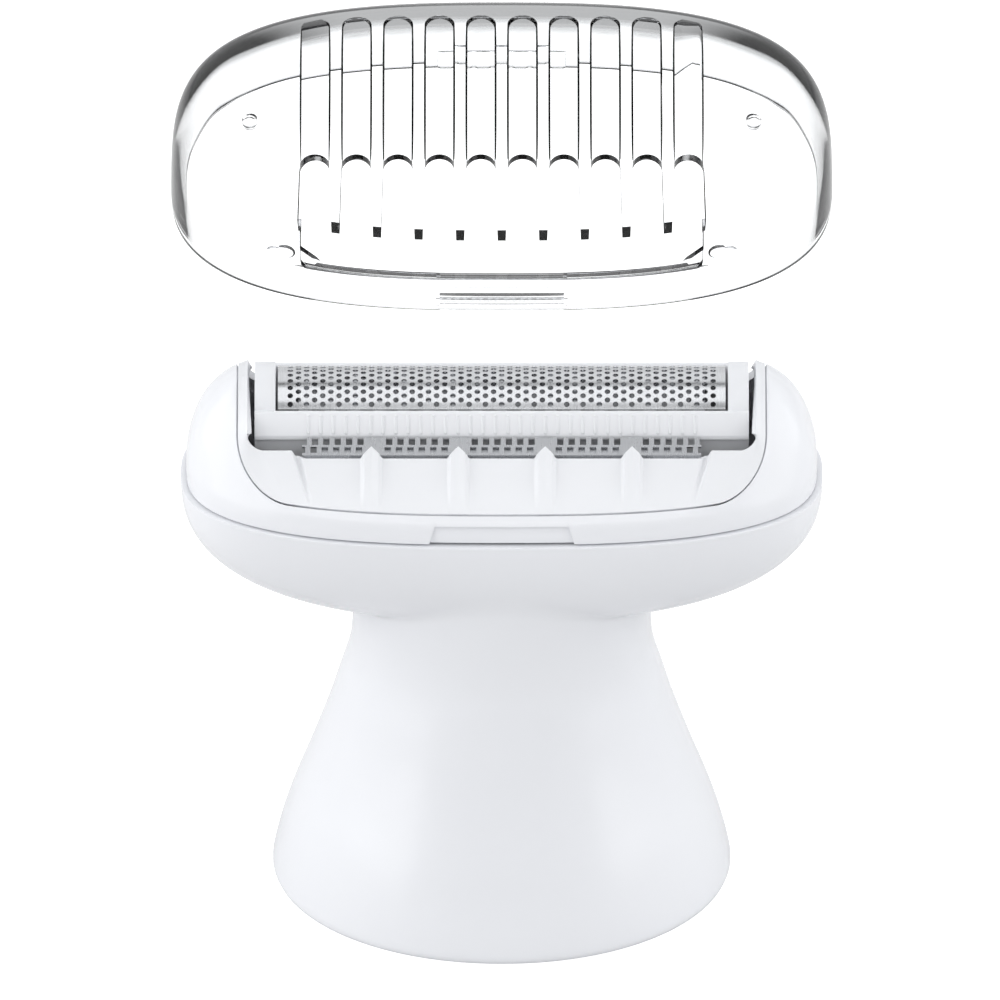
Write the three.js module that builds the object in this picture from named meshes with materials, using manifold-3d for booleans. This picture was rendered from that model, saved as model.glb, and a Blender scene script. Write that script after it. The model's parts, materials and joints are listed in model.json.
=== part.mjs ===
// Foil shaving head of an epilator, standing on its skirt, with its clear comb cap held above it.
// Millimetres, +Z up, origin at the centre of the skirt's rim, the trimmer's working side towards -Y.
import * as THREE from "three";
import { mergeVertices } from "three/addons/utils/BufferGeometryUtils.js";
import Module from "manifold-3d";

const wasm = await Module();
wasm.setup();

// ---------- driving dimensions ----------

const wall = 1.3; // housings
const gap = 0.3; // between fixed neighbours
const seamZ = 36.5; // where the two housings meet
const notch = { halfWidth: 5.8, height: 1.5, depth: 0.9 };

const recess = { halfWidth: 21.7, floorZ: 38.9, corner: 4.2 };
const cheek = { inner: 20.8, outer: 21.4 };
const bay = { pitch: 7.1, width: 5.7, count: 5 };

const foil = { halfLength: 18.3, radius: 4.5, axisZ: 41.3, thickness: 0.22, halfAngle: 49 };
const frameBar = { halfWidth: 20.2, postInner: 18.5, y: 5.0, bottomZ: 39.4, shoulderZ: 42.6 };

const guard = { halfLength: 16.25, low: [-6.62, 41.75], high: [-5.35, 42.72], thickness: 0.24 };
const slot = { pitch: 1.0, width: 0.55, perSegment: 5, segmentPitch: 6.96, start: 0.12, end: 0.7 };
const blade = { halfLength: 15, start: 0.15, end: 0.6, depth: 0.42, thickness: 0.3, stemHalfLength: 9 };

const chassis = { z: [28.3, 29.6], halfLength: 15.6, halfWidth: 7.4, squareness: 2.6 };
const chassisScrew = { x: 9.8, y: 4.0, length: 2.6, bossRadius: 1.9, bossZ: [26.2, 28.0], holeBottom: 26.9 };
const screwShape = { headRadius: 1.6, headHeight: 0.9, shankRadius: 0.75, hole: 0.95 };
const ledge = { z: [17.0, 18.2], bore: 9.9 };
const bearing = { z: [18.6, 20.3], screwX: 8.0, screwLength: 2.4, seat: 0.1 };
const pivot = { z: 30.5, pinRadius: 1.0, hole: 1.15 };
const lever = { top: 7.0, tail: 4.5, halfThickness: 1.4 };
const shaft = { radius: 1.5, bore: 1.65, bottom: 11.4, top: 24.9 };
const cam = { radius: 3.6, bottom: 24.0, top: 25.2, throw: 0.64, pinRadius: 0.6, pinTop: 27.0 };

const cap = { halfLength: 26.95, halfWidth: 13.5, height: 11.8, wall: 0.75, roof: 1.3, squareness: 2.75 };
const comb = { pitch: 3.33, bays: 10, bayWidth: 2.33, tipBayWidth: 2.75, rootY: -6.0, grooveDepth: 0.8 };
const combWindow = { sillZ: 3.9, tipZ: 7.9, halfWidth: 16.15, grooveRear: 8.6 };
const tab = { halfWidth: 5.35, height: 3.0, innerY: 12.78, ridgeY: 12.5 };
const capSeatZ = 36.6;
const capHinge = { y: -77.0, z: 43.4 };
const capTilt = THREE.MathUtils.degToRad(21);

// The lower housing is a half-round bowl that melts into a neck flaring down to the skirt's rim.
const bowl = {
  halfLength: 26.3,
  halfWidth: 12.96,
  depth: 11.4,
  lengthCurve: 2.43,
  widthCurve: 2.3,
  topSquareness: 2.65,
  bottomSquareness: 2.35,
  fillet: 0.6,
};
const neckSquareness = 2.05;
// Neck and skirt as [height, half length, half width].
const neckRows = [
  [0, 18.7, 17.3],
  [0.35, 18.85, 17.45],
  [1.4, 18.7, 17.3],
  [4.0, 18.05, 16.7],
  [6.65, 17.2, 15.95],
  [10.5, 15.75, 14.6],
  [14.8, 14.25, 13.2],
  [17.6, 13.4, 12.45],
  [20.7, 12.5, 11.6],
  [22.8, 12.28, 11.35],
  [seamZ, 12.2, 11.3],
];
const bowlHeights = [24.4, 25.05, 25.3, 25.6, 26.0, 26.5, 27.1, 27.9, 28.9, 29.9, 31.0, 32.3, 34.0];

// Outline of each upper moulding as rings [height, half length, half width, squareness], from the bottom up.
const upperRings = [
  [seamZ + 0.2, 25.75, 12.58, 2.65],
  [37.5, 25.75, 12.42, 2.65],
  [38.2, 25.75, 12.05, 2.65],
  [38.9, 25.75, 11.55, 2.65],
  [40.0, 25.65, 10.95, 2.65],
  [41.4, 25.25, 10.2, 2.65],
  [42.6, 24.7, 9.4, 2.65],
  [43.8, 23.95, 8.3, 2.65],
  [44.8, 23.05, 6.9, 2.65],
  [45.5, 22.3, 5.3, 2.6],
  [45.9, 21.7, 3.6, 2.5],
];
const upperCavityRings = [
  [seamZ - 0.5, 24.5, 11.15, 2.65],
  [38.9, 24.5, 11.05, 2.65],
  [40.0, 24.25, 9.8, 2.65],
  [41.4, 23.9, 9.0, 2.65],
  [43.5, 22.8, 7.3, 2.65],
  [44.6, 21.9, 5.2, 2.65],
  [45.0, 21.5, 4.2, 2.65],
];
const capRings = [
  [0, 1.0, 1.0],
  [3.0, 0.998, 0.997],
  [5.2, 0.994, 0.988],
  [7.0, 0.981, 0.962],
  [8.6, 0.955, 0.91],
  [9.9, 0.915, 0.835],
  [10.9, 0.86, 0.74],
  [11.5, 0.8, 0.64],
  [11.8, 0.72, 0.53],
].map(([z, along, across]) => [z, cap.halfLength * along, cap.halfWidth * across, cap.squareness]);

// ---------- finishes ----------

function finish(color, roughness, metalness = 0) {
  return new THREE.MeshStandardMaterial({ color, roughness, metalness });
}
const glossWhite = finish(0xe9eaee, 0.25);
const satinWhite = finish(0xe4e5ea, 0.4);
const steel = finish(0xb9bcc2, 0.25, 1);
const innerGrey = finish(0x8f9399, 0.55);
const darkPlastic = finish(0x3a3d42, 0.5);
const brass = finish(0xb08d57, 0.35, 1);
const rubber = finish(0x2a2b2e, 0.85);
const clear = new THREE.MeshStandardMaterial({
  color: 0xf4f7f8,
  roughness: 0.05,
  transparent: true,
  opacity: 0.3,
});

// ---------- solids ----------

function solidFrom(geometry) {
  const bare = geometry.clone();
  bare.deleteAttribute("normal");
  bare.deleteAttribute("uv");
  const merged = mergeVertices(bare, 1e-4);
  return new wasm.Manifold(
    new wasm.Mesh({
      numProp: 3,
      vertProperties: new Float32Array(merged.attributes.position.array),
      triVerts: new Uint32Array(merged.index.array),
    }),
  );
}

function geometryFrom(solid) {
  const mesh = solid.getMesh();
  const geometry = new THREE.BufferGeometry();
  geometry.setAttribute("position", new THREE.BufferAttribute(new Float32Array(mesh.vertProperties), 3));
  geometry.setIndex(new THREE.BufferAttribute(new Uint32Array(mesh.triVerts), 1));
  geometry.computeVertexNormals();
  return geometry;
}

function joined(solids) {
  return solids.reduce((all, next) => all.add(next));
}

function cutFrom(solid, cutters) {
  return cutters.reduce((rest, cutter) => rest.subtract(cutter), solid);
}

function mirroredX(solid) {
  return solid.mirror([1, 0, 0]);
}

function mirroredY(solid) {
  return solid.mirror([0, 1, 0]);
}

function box(x, y, z) {
  const geometry = new THREE.BoxGeometry(x[1] - x[0], y[1] - y[0], z[1] - z[0]);
  geometry.translate((x[0] + x[1]) / 2, (y[0] + y[1]) / 2, (z[0] + z[1]) / 2);
  return solidFrom(geometry);
}

function upright(radius, z0, z1, x = 0, y = 0, sides = 20) {
  const geometry = new THREE.CylinderGeometry(radius, radius, z1 - z0, sides);
  geometry.rotateX(Math.PI / 2);
  geometry.translate(x, y, (z0 + z1) / 2);
  return solidFrom(geometry);
}

function cylinderAlongY(radius, y0, y1, x, z, sides = 20) {
  const geometry = new THREE.CylinderGeometry(radius, radius, y1 - y0, sides);
  geometry.translate(x, (y0 + y1) / 2, z);
  return solidFrom(geometry);
}

function shapeOf(points) {
  return new THREE.Shape(points.map(([u, v]) => new THREE.Vector2(u, v)));
}

// A profile in the YZ plane, run along X.
function runAlongX(points, x0, x1) {
  const geometry = new THREE.ExtrudeGeometry(shapeOf(points), { depth: x1 - x0, bevelEnabled: false });
  geometry.applyMatrix4(new THREE.Matrix4().set(0, 0, 1, x0, 1, 0, 0, 0, 0, 1, 0, 0, 0, 0, 0, 1));
  return solidFrom(geometry);
}

// A profile in the XZ plane, run along Y.
function runAlongY(shape, y0, y1) {
  const depth = y1 - y0;
  const geometry = new THREE.ExtrudeGeometry(shape, { depth, bevelEnabled: false, curveSegments: 8 });
  geometry.rotateX(Math.PI / 2);
  geometry.translate(0, y1, 0);
  return solidFrom(geometry);
}

// A profile in the XY plane, run up Z.
function runUp(shape, z0, z1) {
  const depth = z1 - z0;
  const geometry = new THREE.ExtrudeGeometry(shape, { depth, bevelEnabled: false, curveSegments: 4 });
  geometry.translate(0, 0, z0);
  return solidFrom(geometry);
}

// A closed skin through rings of points, flat at both ends.
function skin(rings) {
  const sides = rings[0].points.length;
  const positions = rings.flatMap(({ z, points }) => points.flatMap(([x, y]) => [x, y, z]));
  const last = rings.length - 1;
  const bottom = rings.length * sides;
  positions.push(0, 0, rings[0].z, 0, 0, rings[last].z);
  const index = [];
  for (let i = 0; i < sides; i++) {
    const j = (i + 1) % sides;
    for (let r = 0; r < last; r++) {
      const low = r * sides;
      const high = low + sides;
      index.push(low + i, low + j, high + j, low + i, high + j, high + i);
    }
    index.push(bottom, j, i);
    index.push(bottom + 1, last * sides + i, last * sides + j);
  }
  const geometry = new THREE.BufferGeometry();
  geometry.setAttribute("position", new THREE.Float32BufferAttribute(positions, 3));
  geometry.setIndex(index);
  return solidFrom(geometry);
}

function turns(sides) {
  return Array.from({ length: sides }, (unused, i) => (2 * Math.PI * i) / sides);
}

// A closed skin through superellipse rings.
function loft(rings, sides = 44) {
  const rounded = (cosine, n) => Math.sign(cosine) * Math.abs(cosine) ** (2 / n);
  return skin(
    rings.map(([z, a, b, n]) => ({
      z,
      points: turns(sides).map((t) => [a * rounded(Math.cos(t), n), b * rounded(Math.sin(t), n)]),
    })),
  );
}

function grown(rings, by) {
  return rings.map(([z, a, b, n]) => [z, a + by, b + by, n]);
}

// A round wire wound into a spring between two heights.
function coilSpring(radius, wire, z0, z1, turns, x = 0, y = 0) {
  const points = [];
  const steps = turns * 10;
  for (let i = 0; i <= steps; i++) {
    const angle = (2 * Math.PI * turns * i) / steps;
    const z = z0 + wire + ((z1 - z0 - 2 * wire) * i) / steps;
    points.push(new THREE.Vector3(x + radius * Math.cos(angle), y + radius * Math.sin(angle), z));
  }
  const section = new THREE.Shape();
  section.absarc(0, 0, wire, 0, 2 * Math.PI);
  return solidFrom(
    new THREE.ExtrudeGeometry(section, {
      steps,
      curveSegments: 2,
      bevelEnabled: false,
      extrudePath: new THREE.CatmullRomCurve3(points),
    }),
  );
}

// ---------- housings ----------

function neckSize(z) {
  const above = Math.max(1, neckRows.findIndex((row) => row[0] >= z));
  const [low, high] = [neckRows[above - 1], neckRows[above]];
  const share = (z - low[0]) / (high[0] - low[0]);
  return [1, 2].map((k) => low[k] + (high[k] - low[k]) * share);
}

// Distance from the axis to a superellipse, in one direction.
function reach(angle, a, b, n) {
  return (Math.abs(Math.cos(angle) / a) ** n + Math.abs(Math.sin(angle) / b) ** n) ** (-1 / n);
}

function bowlReach(angle, z, inward) {
  const fall = (seamZ - z) / (bowl.depth - inward);
  if (fall >= 1) return 0;
  const a = (bowl.halfLength - inward) * (1 - fall ** bowl.lengthCurve) ** (1 / bowl.lengthCurve);
  const b = (bowl.halfWidth - inward) * (1 - fall ** bowl.widthCurve) ** (1 / bowl.widthCurve);
  return reach(angle, a, b, bowl.topSquareness + (bowl.bottomSquareness - bowl.topSquareness) * fall);
}

// The larger of two radii, with a fillet where they meet.
function blended(r1, r2) {
  const near = Math.max(0, bowl.fillet - Math.abs(r1 - r2));
  return Math.max(r1, r2) + near ** 2 / (4 * bowl.fillet);
}

// The lower housing's outside, or a skin a wall further in.
function lowerSkin(heights, inward) {
  const flattened = 0.65; // spreads the points along the long sides
  const directions = turns(48).map((t) => Math.atan2(flattened * Math.sin(t), Math.cos(t)));
  return skin(
    heights.map(([z, level]) => {
      const [a, b] = neckSize(level);
      const points = directions.map((angle) => {
        const neck = reach(angle, a - inward, b - inward, neckSquareness);
        const radius = blended(neck, bowlReach(angle, level, inward));
        return [radius * Math.cos(angle), radius * Math.sin(angle)];
      });
      return { z, points };
    }),
  );
}

function atFourCorners(solid) {
  const pair = solid.add(mirroredY(solid));
  return pair.add(mirroredX(pair));
}

function lowerHousing() {
  const neckHeights = neckRows.slice(0, -1).map((row) => row[0]);
  const outer = lowerSkin([...neckHeights, ...bowlHeights, seamZ].map((z) => [z, z]), 0);
  const innerLevels = [...neckHeights.slice(3), ...bowlHeights.slice(4)].map((z) => [z, z]);
  const inner = lowerSkin([[-1, 0], ...innerLevels, [seamZ + 1, seamZ]], wall);
  const { x, y, bossRadius, bossZ, holeBottom } = chassisScrew;
  const boss = upright(bossRadius, ...bossZ, x, y, 14);
  const bore = upright(screwShape.hole, holeBottom, bossZ[1] + 1, x, y, 12);
  const ring = loft([
    [ledge.z[0], 13.0, 12.0, neckSquareness],
    [ledge.z[1], 12.6, 11.7, neckSquareness],
  ]);
  const ringBore = upright(ledge.bore, ledge.z[0] - 1, ledge.z[1] + 1, 0, 0, 32);
  return joined([outer.subtract(inner), atFourCorners(boss), ring.subtract(ringBore)])
    .subtract(atFourCorners(bore));
}

function recessShape(floorZ, halfWidth, corner) {
  const top = 50;
  const shape = new THREE.Shape();
  shape.moveTo(-halfWidth, top);
  shape.lineTo(-halfWidth, floorZ + corner);
  shape.absarc(-halfWidth + corner, floorZ + corner, corner, Math.PI, 1.5 * Math.PI);
  shape.absarc(halfWidth - corner, floorZ + corner, corner, 1.5 * Math.PI, 2 * Math.PI);
  shape.lineTo(halfWidth, top);
  return shape;
}

function notchCutter() {
  const { halfWidth, height, depth } = notch;
  const slant = 0.5;
  const shape = shapeOf([
    [-halfWidth - slant, seamZ - 1],
    [halfWidth + slant, seamZ - 1],
    [halfWidth, seamZ + height],
    [-halfWidth, seamZ + height],
  ]);
  return runAlongY(shape, -15, -12.75 + depth);
}

function upperHousing() {
  const shell = loft(upperRings).subtract(loft(upperCavityRings));
  const opening = recessShape(recess.floorZ, recess.halfWidth, recess.corner);
  const front = notchCutter();
  return cutFrom(shell, [runAlongY(opening, -15, 15), front, mirroredY(front)]);
}

// ---------- trimmer frame ----------

const apronSection = [
  [-12, 37.9],
  [-9.4, 37.9],
  [-8.6, 38.6],
  [-7.6, 39.75],
  [-6.95, 40.65],
  [-6.95, 41.6],
  [-7.35, 41.3],
  [-8.3, 40.5],
  [-9.7, 39.7],
  [-12, 39.0],
];

function apronBays() {
  const scoop = [
    [-10.2, 39.6],
    [-9.0, 39.55],
    [-7.9, 40.2],
    [-7.25, 40.9],
    [-6.5, 41.0],
    [-6.5, 42.5],
    [-10.2, 42.5],
  ];
  const cutters = [];
  for (let i = 0; i < bay.count; i++) {
    const x = (i - (bay.count - 1) / 2) * bay.pitch;
    cutters.push(runAlongX(scoop, x - bay.width / 2, x + bay.width / 2));
  }
  return cutters;
}

function trimmerFrame() {
  const room = loft(grown(upperCavityRings, -gap));
  const apron = cutFrom(runAlongX(apronSection, -cheek.outer, cheek.outer), apronBays());
  const side = box([cheek.inner, cheek.outer], [-12, 12], [37.9, 45.4]);
  const tie = box([17.6, cheek.outer], [-9.5, -frameBar.y - gap], [37.9, 39.7]);
  const ties = tie.add(mirroredX(tie));
  const aprons = [apron, mirroredY(apron), ties, mirroredY(ties)];
  return joined([...aprons, side, mirroredX(side)]).intersect(room);
}

// ---------- foil ----------

function foilFrame() {
  const { halfWidth, postInner, y, bottomZ, shoulderZ } = frameBar;
  const bar = [
    [-y, bottomZ],
    [-y + 0.75, bottomZ],
    [-y + 0.75, shoulderZ + 0.3],
    [-3.85, 44.2],
    [-4.15, 44.45],
    [-4.5, 44.25],
    [-y, shoulderZ],
  ];
  const arch = [[-y, bottomZ], [y, bottomZ], [y, shoulderZ]];
  const archRadius = foil.radius + 0.35;
  for (let degrees = 50; degrees <= 130; degrees += 10) {
    const angle = THREE.MathUtils.degToRad(degrees);
    arch.push([archRadius * Math.cos(angle), foil.axisZ + archRadius * Math.sin(angle)]);
  }
  arch.push([-y, shoulderZ]);
  const front = runAlongX(bar, -halfWidth, halfWidth);
  const post = runAlongX(arch, postInner, halfWidth);
  return joined([front, mirroredY(front), post, mirroredX(post)]);
}

function shavingFoil() {
  const { halfLength, radius, axisZ, thickness, halfAngle } = foil;
  const steps = 12;
  const outer = [];
  const inner = [];
  for (let i = 0; i <= steps; i++) {
    const angle = THREE.MathUtils.degToRad(90 - halfAngle + (2 * halfAngle * i) / steps);
    outer.push([radius * Math.cos(angle), axisZ + radius * Math.sin(angle)]);
    inner.unshift([(radius - thickness) * Math.cos(angle), axisZ + (radius - thickness) * Math.sin(angle)]);
  }
  return runAlongX([...outer, ...inner], -halfLength, halfLength);
}

// ---------- trimmers ----------

function offsetStrip(from, to, depth, thickness) {
  const length = Math.hypot(to[0] - from[0], to[1] - from[1]);
  const inward = [(to[1] - from[1]) / length, -(to[0] - from[0]) / length];
  const moved = (p, by) => [p[0] + inward[0] * by, p[1] + inward[1] * by];
  return [moved(from, depth), moved(from, depth + thickness), moved(to, depth + thickness), moved(to, depth)];
}

// A point on the guard's outer face, between its lower and upper edge.
function guardPoint(share) {
  const { low, high } = guard;
  return [low[0] + (high[0] - low[0]) * share, low[1] + (high[1] - low[1]) * share];
}

function trimmerGuard() {
  const { halfLength, low, high, thickness } = guard;
  const slotSection = offsetStrip(guardPoint(slot.start), guardPoint(slot.end), -1, 2);
  const slots = [];
  for (let segment = 0; segment < bay.count; segment++) {
    for (let i = 0; i < slot.perSegment; i++) {
      const segmentX = (segment - (bay.count - 1) / 2) * slot.segmentPitch;
      const x = segmentX + (i - (slot.perSegment - 1) / 2) * slot.pitch;
      slots.push(runAlongX(slotSection, x - slot.width / 2, x + slot.width / 2));
    }
  }
  return cutFrom(runAlongX(offsetStrip(low, high, 0, thickness), -halfLength, halfLength), slots);
}

function trimmerBlade() {
  const { halfLength, start, end, depth, thickness, stemHalfLength } = blade;
  const edge = offsetStrip(guardPoint(start), guardPoint(end), depth, thickness);
  const stem = [
    [-6.15, 37.0],
    [-3.7, 37.0],
    [-3.7, 37.7],
    [-5.5, 37.7],
    [-5.5, 41.75],
    [-6.15, 41.4],
  ];
  return runAlongX(edge, -halfLength, halfLength).add(runAlongX(stem, -stemHalfLength, stemHalfLength));
}

// ---------- cutter ----------

function innerCutter() {
  const radius = foil.radius - foil.thickness - 0.12;
  const section = [];
  for (let degrees = 15; degrees <= 165; degrees += 15) {
    const angle = THREE.MathUtils.degToRad(degrees);
    section.push([radius * Math.cos(angle), foil.axisZ + radius * Math.sin(angle)]);
  }
  section.push([-2.6, 41.4], [2.6, 41.4]);
  const slots = [];
  const pitch = 2.0;
  for (let x = -15; x <= 15.01; x += pitch) {
    slots.push(box([x - 0.55, x + 0.55], [-6, 6], [42.9, 47]));
  }
  return cutFrom(runAlongX(section, -16.6, 16.6), slots);
}

function cutterCarrier() {
  const plate = box([-16.8, 16.8], [-3.2, 3.2], [40.1, 41.1]);
  const seat = upright(1.1, 39.6, 40.4);
  return plate.add(seat);
}

function driveBridge() {
  const beam = box([-14, 14], [-3.4, 3.4], [36.85, 38.2]);
  const lighten = box([4, 12], [-2.2, 2.2], [36, 39]);
  const pocket = box([-1.2, 1.2], [-1.8, 1.8], [36, 37.95]);
  return cutFrom(beam, [lighten, mirroredX(lighten), pocket]);
}

// ---------- drive ----------

function swingLever() {
  const { top, tail, halfThickness: t } = lever;
  const arm = new THREE.Shape();
  arm.moveTo(-1.5, pivot.z);
  arm.lineTo(-0.9, pivot.z + top - 0.2);
  arm.absarc(0, pivot.z + top - 0.6, 0.9, Math.PI, 0, true);
  arm.lineTo(1.5, pivot.z);
  const fork = shapeOf([
    [-3.3, pivot.z - tail - 0.05],
    [-2.3, pivot.z - tail - 0.05],
    [-2.3, pivot.z - 2.9],
    [2.3, pivot.z - 2.9],
    [2.3, pivot.z - tail - 0.05],
    [3.3, pivot.z - tail - 0.05],
    [3.3, pivot.z - 1.8],
    [1.6, pivot.z],
    [-1.6, pivot.z],
    [-3.3, pivot.z - 1.8],
  ]);
  const hub = cylinderAlongY(2.4, -t, t, 0, pivot.z, 24);
  const hole = cylinderAlongY(pivot.hole, -t - 1, t + 1, 0, pivot.z, 24);
  return joined([hub, runAlongY(arm, -t, t), runAlongY(fork, -t, t)]).subtract(hole);
}

function leverPivotPin() {
  return cylinderAlongY(pivot.pinRadius, -3.9, 3.9, 0, pivot.z, 24);
}

function chassisPlate() {
  const { z, halfLength, halfWidth, squareness } = chassis;
  const plate = loft(z.map((level) => [level, halfLength, halfWidth, squareness]));
  const post = box([-2.6, 2.6], [2.1, 4.1], [z[1] - 0.6, 32.6]);
  const pinHole = cylinderAlongY(pivot.hole, -6, 6, 0, pivot.z, 24);
  const well = box([-5.2, 5.2], [-1.9, 1.9], [z[0] - 1, z[1] + 1]);
  const screwHole = upright(screwShape.hole, z[0] - 1, z[1] + 1, chassisScrew.x, chassisScrew.y, 12);
  return cutFrom(joined([plate, post, mirroredY(post)]), [pinHole, well, atFourCorners(screwHole)]);
}

function guideFrame() {
  const plate = loft([
    [34.5, 20.6, 8.8, 4],
    [35.8, 20.6, 8.8, 4],
  ]);
  const centre = box([-15.5, 15.5], [-2.4, 2.4], [33, 37]);
  const rail = box([-15.5, 15.5], [2.6, 3.2], [35.5, 36.5]);
  const leg = box([12.4, 14.0], [2.6, 4.2], [chassis.z[1] + gap, 35.0]);
  return joined([plate.subtract(centre), rail, mirroredY(rail), atFourCorners(leg)]);
}

function eccentricCam() {
  const disc = upright(cam.radius, cam.bottom, cam.top, 0, 0, 28);
  const hub = upright(2.5, 22.6, cam.bottom + 0.2, 0, 0, 20);
  const bore = upright(shaft.bore, 22, shaft.top + 0.1, 0, 0, 24);
  const pin = upright(cam.pinRadius, cam.top - 0.1, cam.pinTop, cam.throw, 0, 12);
  const relief = box([-5, 5], [2.2, 5], [cam.bottom - 0.3, cam.top + 0.3]);
  return cutFrom(joined([disc, hub]), [bore, relief]).add(pin);
}

function driveShaft() {
  return upright(shaft.radius, shaft.bottom, shaft.top - 0.1, 0, 0, 24);
}

function shaftBush() {
  const sleeve = upright(3.0, 17.9, 21.4, 0, 0, 24);
  const flange = upright(4.2, 20.7, 21.4, 0, 0, 24);
  return sleeve.add(flange).subtract(upright(shaft.bore, 17, 22, 0, 0, 24));
}

function bearingPlate() {
  const plate = loft([
    [bearing.z[0], 10.9, 9.9, neckSquareness],
    [bearing.z[1], 10.7, 9.7, neckSquareness],
  ]);
  const screwHole = upright(screwShape.hole, 18, 21, bearing.screwX, 0, 12);
  const bushHole = upright(3.3, 18, 21, 0, 0, 24);
  const webs = box([4.6, 6.6], [-5.5, 5.5], [18, bearing.z[0] + 0.8]);
  return cutFrom(plate, [bushHole, screwHole, mirroredX(screwHole), webs, mirroredX(webs)]);
}

function driveCoupling() {
  const body = upright(4.2, 7.0, 13.2, 0, 0, 28);
  const collar = upright(5.0, 11.6, 13.2, 0, 0, 28);
  const socket = box([-2.5, 2.5], [-0.9, 0.9], [6, 10.6]);
  const crossSocket = box([-0.9, 0.9], [-2.5, 2.5], [6, 10.6]);
  const shaftBore = upright(shaft.bore, shaft.bottom - 0.3, 14, 0, 0, 24);
  return cutFrom(body.add(collar), [socket, crossSocket, shaftBore]);
}

function couplingRing() {
  const ring = loft([
    [9.6, 14.0, 12.9, neckSquareness],
    [12.6, 12.95, 11.9, neckSquareness],
  ]);
  const hook = shapeOf([
    [11.9, 10],
    [13.2, 10],
    [13.2, 5.0],
    [12.2, 4.4],
    [11.3, 5.3],
    [11.9, 5.9],
  ]);
  const side = runAlongY(hook, -3, 3);
  return joined([ring.subtract(upright(ledge.bore, 9, 13.2, 0, 0, 32)), side, mirroredX(side)]);
}

function sealRing() {
  const tube = new THREE.TorusGeometry(9.2, 0.55, 6, 28);
  tube.translate(0, 0, 11.2);
  return solidFrom(tube);
}

function screw(length) {
  const { headRadius, headHeight, shankRadius } = screwShape;
  const head = upright(headRadius, 0, headHeight, 0, 0, 16);
  const shank = upright(shankRadius, -length, headHeight / 2, 0, 0, 10);
  const driveSlot = box([-1.1, 1.1], [-0.2, 0.2], [headHeight / 2, headHeight + 1]);
  return cutFrom(head.add(shank), [driveSlot, driveSlot.rotate([0, 0, 90])]);
}

// ---------- comb cap, in its own frame: rim at z = 0 ----------

function capShell() {
  const innerRings = capRings.map(([z, a, b, n]) => {
    const share = z / cap.height;
    const roofed = z * (1 - cap.roof / cap.height);
    return [roofed, a - cap.wall - 0.25 * share, b - cap.wall - 0.25 * share, n];
  });
  innerRings[0][0] = -1;
  return loft(capRings).subtract(loft(innerRings));
}

// One bay between teeth: a round root, opening out slightly towards the tips.
function bayShape(x) {
  const root = comb.bayWidth / 2;
  const tip = comb.tipBayWidth / 2;
  const shape = new THREE.Shape();
  shape.moveTo(x + tip, -16);
  shape.lineTo(x + root, comb.rootY - root);
  shape.absarc(x, comb.rootY - root, root, 0, Math.PI);
  shape.lineTo(x - tip, -16);
  return shape;
}

// The groove behind each bay, with a round rear end.
function grooveShape(x) {
  const half = comb.bayWidth / 2;
  const shape = new THREE.Shape();
  shape.moveTo(x + half, -7);
  shape.lineTo(x + half, combWindow.grooveRear - half);
  shape.absarc(x, combWindow.grooveRear - half, half, 0, Math.PI);
  shape.lineTo(x - half, -7);
  return shape;
}

// The thicker patch in the middle of the rim, with a low ridge that snaps into the head's notch.
function catchTab() {
  const { halfWidth, height, innerY, ridgeY } = tab;
  const patch = box([-halfWidth, halfWidth], [-cap.halfWidth + 0.3, -innerY], [0.1, height]);
  const ridge = box([-halfWidth, halfWidth], [-cap.halfWidth + 0.3, -ridgeY], [0.25, 1.1]);
  return patch.add(ridge);
}

function combCap() {
  const cutters = [];
  for (let i = 0; i < comb.bays; i++) {
    const x = (i - (comb.bays - 1) / 2) * comb.pitch;
    cutters.push(runUp(bayShape(x), combWindow.tipZ - 0.3, 14));
    cutters.push(runUp(grooveShape(x), cap.height - comb.grooveDepth, 14));
  }
  const front = box(
    [-combWindow.halfWidth, combWindow.halfWidth],
    [-16, -8],
    [combWindow.sillZ, combWindow.tipZ],
  );
  const frontTab = catchTab();
  return joined([cutFrom(capShell(), [...cutters, front]), frontTab, mirroredY(frontTab)]);
}

// ---------- assembly ----------

const head = new THREE.Group();

function add(name, solid, material, position = [0, 0, 0]) {
  const mesh = new THREE.Mesh(geometryFrom(solid), material);
  mesh.name = name;
  mesh.position.set(...position);
  head.add(mesh);
  return mesh;
}

add("lower_housing", lowerHousing(), glossWhite);
add("upper_housing", upperHousing(), glossWhite);
add("trimmer_frame", trimmerFrame(), satinWhite);
add("foil_frame", foilFrame(), satinWhite);
add("shaving_foil", shavingFoil(), steel);
add("trimmer_guard_front", trimmerGuard(), steel);
add("trimmer_guard_rear", mirroredY(trimmerGuard()), steel);
add("trimmer_blade_front", trimmerBlade(), steel);
add("trimmer_blade_rear", mirroredY(trimmerBlade()), steel);
add("inner_cutter", innerCutter(), steel);
add("cutter_carrier", cutterCarrier(), innerGrey);
add("cutter_spring", coilSpring(1.55, 0.17, 38.25, 40.05, 3), steel);
add("drive_bridge", driveBridge(), innerGrey);
add("foil_spring_left", coilSpring(0.8, 0.17, 35.9, 39.3, 4, -19.2), steel);
add("foil_spring_right", coilSpring(0.8, 0.17, 35.9, 39.3, 4, 19.2), steel);
add("guide_frame", guideFrame(), innerGrey);
add("chassis_plate", chassisPlate(), innerGrey);
add("swing_lever", swingLever(), darkPlastic);
add("lever_pivot_pin", leverPivotPin(), steel);
add("eccentric_cam", eccentricCam(), darkPlastic);
add("drive_shaft", driveShaft(), steel);
add("shaft_bush", shaftBush(), brass);
add("bearing_plate", bearingPlate(), innerGrey);
add("drive_coupling", driveCoupling(), darkPlastic);
add("coupling_ring", couplingRing(), innerGrey);
add("seal_ring", sealRing(), rubber);

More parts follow.
